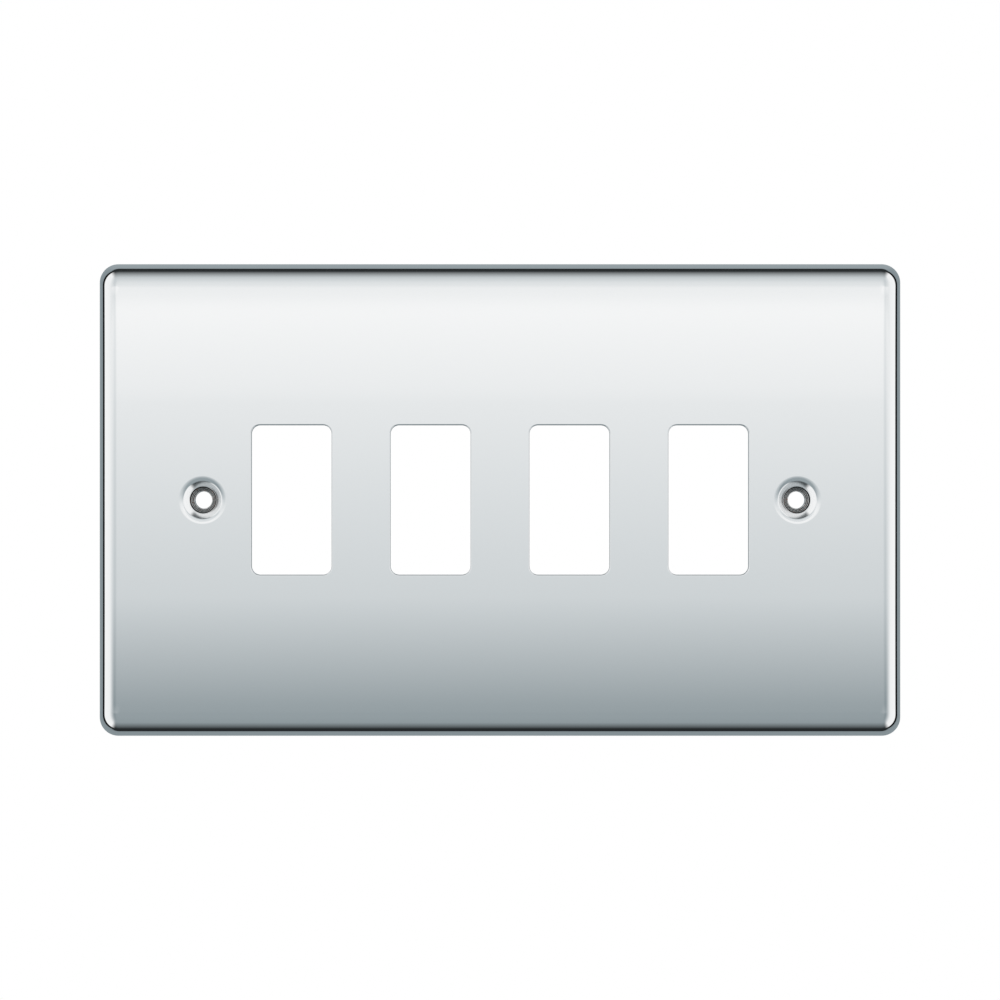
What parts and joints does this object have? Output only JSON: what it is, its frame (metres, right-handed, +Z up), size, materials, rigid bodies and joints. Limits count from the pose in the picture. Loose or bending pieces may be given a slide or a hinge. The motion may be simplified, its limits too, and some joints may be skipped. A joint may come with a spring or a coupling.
{
  "type": "grid switch plate",
  "caption": "Pressed polished-chrome front plate with a row of rectangular switch windows and a sunk screw hole at each end",
  "frame": {"origin": "the centre of the plate's back rim, in the plane of the wall", "axes": "X is the plate's width, Z is up as it hangs, and the face looks along -Y into the room; the wall is at y = 0"},
  "size_m": [0.146, 0.0065, 0.086],
  "materials": {
    "polished_chrome": "mirror-bright chrome plate on pressed steel sheet, duller on the back and in the screw holes"
  },
  "bodies": {
    "root": {"front_plate": "polished_chrome"}
  },
  "joints": []
}
